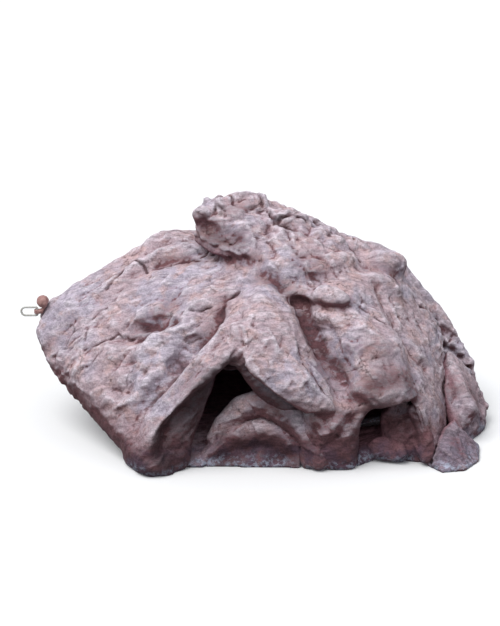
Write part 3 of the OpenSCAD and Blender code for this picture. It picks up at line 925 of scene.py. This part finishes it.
def rock_material(name, tint=MAUVE, brown=0.0, frost=0.0, low=0.8):
    """Painted resin rock: mottled mauve, red-brown stains, slate and frost at the foot; painted shade brown
    in the hollows, under overhangs and near the ground, near-black in recesses and dark inside the cave; a
    painted highlight pale on the ridges.
    """
    n = Nodes(name)
    broad = n.noise(55, 2)
    patch = n.noise(17, 4, warp=0.4)
    fine = n.noise(4.5, 5, rough=0.65)
    speck = n.noise(1.5, 3, rough=0.7)
    grain = n.noise(9, 5, n.stretched((0, math.radians(40), 0), (0.22, 1, 1)), 0.6, 0.6)

    strokes = n.noise(4.0, 4, n.stretched((0, math.radians(40), 0), (0.3, 1, 1)), 0.3, 0.7)

    colour = n.mix(n.math("MULTIPLY", n.step(broad, 0.42, 0.62), 0.7), tint, LILAC)
    colour = n.mix(n.math("MULTIPLY", n.step(patch, 0.46, 0.66), 0.6), colour, PEACH)
    colour = n.mix(n.math("MULTIPLY", n.step(grain, 0.50, 0.68), 0.5), colour, PALE)

    hollow = n.attribute("hollow")
    # Painted highlight: the ridges, which stand above their neighbours, turn pale.
    rise = n.step(hollow, 0.5, 0.1)
    colour = n.mix(n.math("MULTIPLY", rise, 0.6), colour, PALE)

    up = n.add("ShaderNodeSeparateXYZ", {0: n.add("ShaderNodeNewGeometry").outputs["Normal"]}).outputs["Z"]
    height = n.add("ShaderNodeSeparateXYZ", {0: n.place}).outputs["Z"]
    level = n.math("SUBTRACT", height, n.math("MULTIPLY", patch, 0.045))
    # Painted shade: faces that look down turn brown.
    under = n.math("MULTIPLY", n.step(up, 0.30, -0.40), 0.85)
    # Stains, partly painted shade, broken up by brush strokes and specks.
    stain_and_shade_strokes = n.math("MULTIPLY", n.attribute("stain_and_shade"), n.step(strokes, 0.30, 0.64))
    stain_and_shade_strokes = n.math("MULTIPLY", stain_and_shade_strokes, n.step(speck, 0.25, 0.60, (0.62, 1.0)))
    # Painted shade: the hollows turn brown.
    deep = n.step(n.math("ADD", hollow, n.math("MULTIPLY", n.math("SUBTRACT", fine, 0.5), 0.7)), 0.56, 0.92)
    # Painted shade near the ground: darker towards the bottom, as strong as the low setting.
    lowdown = n.math("MULTIPLY", n.step(level, 0.045, -0.006), low)
    # Stains and painted shade together, mixed towards red-brown.
    brown_shade_and_stain = n.math("ADD", n.math("MULTIPLY", deep, 0.8), stain_and_shade_strokes)
    brown_shade_and_stain = n.math("ADD", n.math("ADD", brown_shade_and_stain, under), n.math("ADD", lowdown, brown), clamp=True)
    brown_shade_and_stain = n.math("MULTIPLY", brown_shade_and_stain, 0.92)
    colour = n.mix(brown_shade_and_stain, colour, STAIN_AND_SHADE_BROWN)

    foot = n.math("MULTIPLY", n.step(level, 0.012, -0.014), n.step(patch, 0.35, 0.6))
    colour = n.mix(n.math("MULTIPLY", foot, 0.6), colour, SLATE)
    edge = n.math("SUBTRACT", height, n.math("MULTIPLY", patch, 0.024))
    rim = n.math("MULTIPLY", n.step(edge, 0.002, -0.010), n.step(fine, 0.44, 0.60))
    rim = n.math("ADD", rim, n.math("MULTIPLY", frost, n.step(patch, 0.42, 0.68)), clamp=True)
    colour = n.mix(n.math("MULTIPLY", rim, 0.7), colour, FROST)

    veins = n.add("ShaderNodeTexVoronoi", {"Vector": n.mixed_place(fine), "Scale": 1000.0 / 31},
                  feature="DISTANCE_TO_EDGE").outputs["Distance"]
    hairline = n.math("MULTIPLY", n.step(veins, 0.022, 0.0), n.step(patch, 0.54, 0.64))
    dark = n.math("MAXIMUM", n.attribute("crack"), n.math("MULTIPLY", hairline, 0.4))
    inside = n.attribute("inside")
    # Painted shade: faces inside the cave turn dark red-brown.
    colour = n.mix(n.math("MULTIPLY", inside, 0.9), colour, CAVE_SHADE)
    # Painted shade: near-black in the recesses and the deepest hollows, together with the dark cracks.
    dark = n.math("MAXIMUM", dark, n.math("MULTIPLY", n.attribute("shade"), 0.85))
    dark = n.math("MAXIMUM", dark, n.step(hollow, 0.85, 1.15))
    colour = n.mix(dark, colour, DARK)
    mottle = n.math("ADD", n.math("MULTIPLY", speck, 0.4), n.math("MULTIPLY", strokes, 0.6))
    mottle = n.step(mottle, 0.36, 0.64, (0.60, 1.27))
    grey = n.add("ShaderNodeCombineColor", {0: mottle, 1: mottle, 2: mottle}).outputs[0]
    colour = n.mix(1.0, colour, grey, "MULTIPLY")

    relief = n.math("ADD", fine, n.math("MULTIPLY", speck, 0.35))
    relief = n.math("ADD", relief, n.math("MULTIPLY", grain, 0.8))
    relief = n.math("SUBTRACT", relief, n.math("MULTIPLY", hairline, 0.4))
    n.put(n.shader.inputs["Specular IOR Level"], n.step(inside, 0.2, 0.8, (0.3, 0.05)))
    return n.finish(colour, n.step(patch, 0.3, 0.7, (0.72, 0.92)), relief, 1.5)


def lug_material():
    """The small pink resin knob."""
    n = Nodes("lug_paint")
    blotch = n.noise(4, 3)
    speck = n.noise(0.9, 3)
    colour = n.mix(n.step(blotch, 0.4, 0.65), (0.44, 0.25, 0.23), (0.30, 0.15, 0.14))
    colour = n.mix(n.math("MULTIPLY", n.step(speck, 0.5, 0.7), 0.5), colour, (0.62, 0.40, 0.36))
    return n.finish(colour, n.step(speck, 0.3, 0.7, (0.45, 0.7)), n.math("ADD", blotch, speck), 0.5)


def cord_material():
    """Pale twisted nylon."""
    n = Nodes("cord_paint")
    twist = n.add("ShaderNodeTexWave", {"Vector": n.place, "Scale": 420.0, "Distortion": 1.5},
                  bands_direction="DIAGONAL").outputs["Fac"]
    wear = n.noise(2.5, 3)
    colour = n.mix(n.step(wear, 0.4, 0.7), (0.74, 0.74, 0.70), (0.60, 0.58, 0.52))
    # Painted shade in the grooves of the twist.
    colour = n.mix(n.math("MULTIPLY", n.step(twist, 0.3, 0.0), 0.5), colour, (0.38, 0.36, 0.33))
    return n.finish(colour, n.step(wear, 0.3, 0.7, (0.35, 0.55)), twist, 0.25)


# ---------------------------------------------------------------- the finished pieces

PAINT = {
    "front_shell": rock_material("front_paint"),
    "back_shell": rock_material("back_paint"),
    "crest_cap": rock_material("crest_paint"),
    "cave_ledge": rock_material("ledge_paint", brown=0.05, low=0.5),
    "side_stone": rock_material("side_paint", brown=0.4),
    "flank_slab": rock_material("flank_paint", brown=0.1, frost=0.2, low=0.3),
    "toe_stone": rock_material("toe_paint", tint=LILAC, brown=0.25, frost=0.25, low=0.4),
}
LUG_VOXEL = 0.4
LUG_EYE = (-238, -2.6, 122)


def make_lug():
    """The cast knob, softened and roughened away from its eye."""
    lug = Skin("lug", [cad_faces("tether_lug")], LUG_VOXEL * MM)
    eye = ORIGIN + np.array(LUG_EYE) * MM
    away = ramp(4.5, 8, np.linalg.norm((lug.co - eye)[:, [0, 2]], axis=1) / MM)
    lug.relax(14, away)
    p = lug.marks()
    rise = 0.9 * fractal(p, 6, 3, 91) * away
    lug.co = lug.co + (rise * MM)[:, None] * lug.normals()
    lug.store()
    return lug.obj


def dress(piece, node, material):
    """Paints a piece and puts it on the rock in place of its CAD node."""
    piece.data.materials.clear()
    piece.data.materials.append(material)
    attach(piece, "rock")
    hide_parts(node)


dress(make_lug(), "tether_lug", lug_material())
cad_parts["tether_loop"].material_slots[0].material = cord_material()
for node, piece in make_pieces().items():
    dress(piece, node, PAINT[node])


# ---------------------------------------------------------------- camera, light and floor

# The sky's strength at the horizon and above, and the lamps.
SKY_LOW = 0.08
SKY_HIGH = 0.60
LAMPS = [
    # name, where it stands, its angular size in degrees, its power
    ("key", (-0.45, -0.35, 1.0), 45, 2.45),
    ("fill", (0.6, -0.9, 0.7), 80, 0.35),
]


# The camera: the landmark it looks at, its tilt, its distance in metres and its lens in mm.
CAMERA_TARGET = (-10.5, 0, 119)
CAMERA_TILT = math.radians(20)
CAMERA_DISTANCE = 1.5
CAMERA_LENS = 82.15

# The floor: half its side in metres, and how far it lies below the rock's foot in mm.
FLOOR_HALF = 12
FLOOR_DROP = 0.2


def make_camera():
    """A long lens in front of the rock, looking a little down."""
    cam = bpy.data.cameras.new("camera")
    cam.sensor_width = 36
    cam.lens = CAMERA_LENS
    obj = bpy.data.objects.new("camera", cam)
    bpy.context.collection.objects.link(obj)
    target = Vector(ORIGIN + np.array(CAMERA_TARGET) * MM)
    back = Vector((0, -math.cos(CAMERA_TILT), math.sin(CAMERA_TILT)))
    obj.location = target + CAMERA_DISTANCE * back
    obj.rotation_euler = (math.radians(90) - CAMERA_TILT, 0, 0)
    bpy.context.scene.camera = obj


def make_light():
    """Overcast studio light: a wide soft sun from the upper left, and a sky that is dark below."""
    world = bpy.data.worlds.new("sky")
    bpy.context.scene.world = world
    world.use_nodes = True
    tree = world.node_tree
    place = tree.nodes.new("ShaderNodeTexCoord")
    split = tree.nodes.new("ShaderNodeSeparateXYZ")
    fade = tree.nodes.new("ShaderNodeMapRange")
    fade.inputs["From Min"].default_value = -0.1
    fade.inputs["From Max"].default_value = 0.5
    fade.inputs["To Min"].default_value = SKY_LOW
    fade.inputs["To Max"].default_value = SKY_HIGH
    tree.links.new(place.outputs["Generated"], split.inputs[0])
    tree.links.new(split.outputs["Z"], fade.inputs["Value"])
    tree.links.new(fade.outputs["Result"], tree.nodes["Background"].inputs["Strength"])
    tree.nodes["Background"].inputs["Color"].default_value = (0.92, 0.95, 1.0, 1)
    for name, spot, angle, power in LAMPS:
        lamp = bpy.data.lights.new(name, "SUN")
        lamp.angle = math.radians(angle)
        lamp.energy = power
        obj = bpy.data.objects.new(name, lamp)
        obj.rotation_euler = (-Vector(spot)).to_track_quat("-Z", "Y").to_euler()
        bpy.context.collection.objects.link(obj)


def make_floor():
    """A plain pale floor, a little below the rock's foot."""
    mesh = bpy.data.meshes.new("floor")
    s = FLOOR_HALF
    mesh.from_pydata([(-s, -s, 0), (s, -s, 0), (s, s, 0), (-s, s, 0)], [], [(0, 1, 2, 3)])
    obj = bpy.data.objects.new("floor", mesh)
    bpy.context.collection.objects.link(obj)
    obj.location.z = LOW.z - FLOOR_DROP * MM
    m = bpy.data.materials.new("floor")
    m.use_nodes = True
    m.node_tree.nodes["Principled BSDF"].inputs["Base Color"].default_value = (0.9, 0.9, 0.9, 1)
    m.node_tree.nodes["Principled BSDF"].inputs["Roughness"].default_value = 0.9
    mesh.materials.append(m)
    obj.visible_diffuse = False


make_camera()
make_light()
make_floor()
bpy.context.scene.view_settings.view_transform = "Standard"
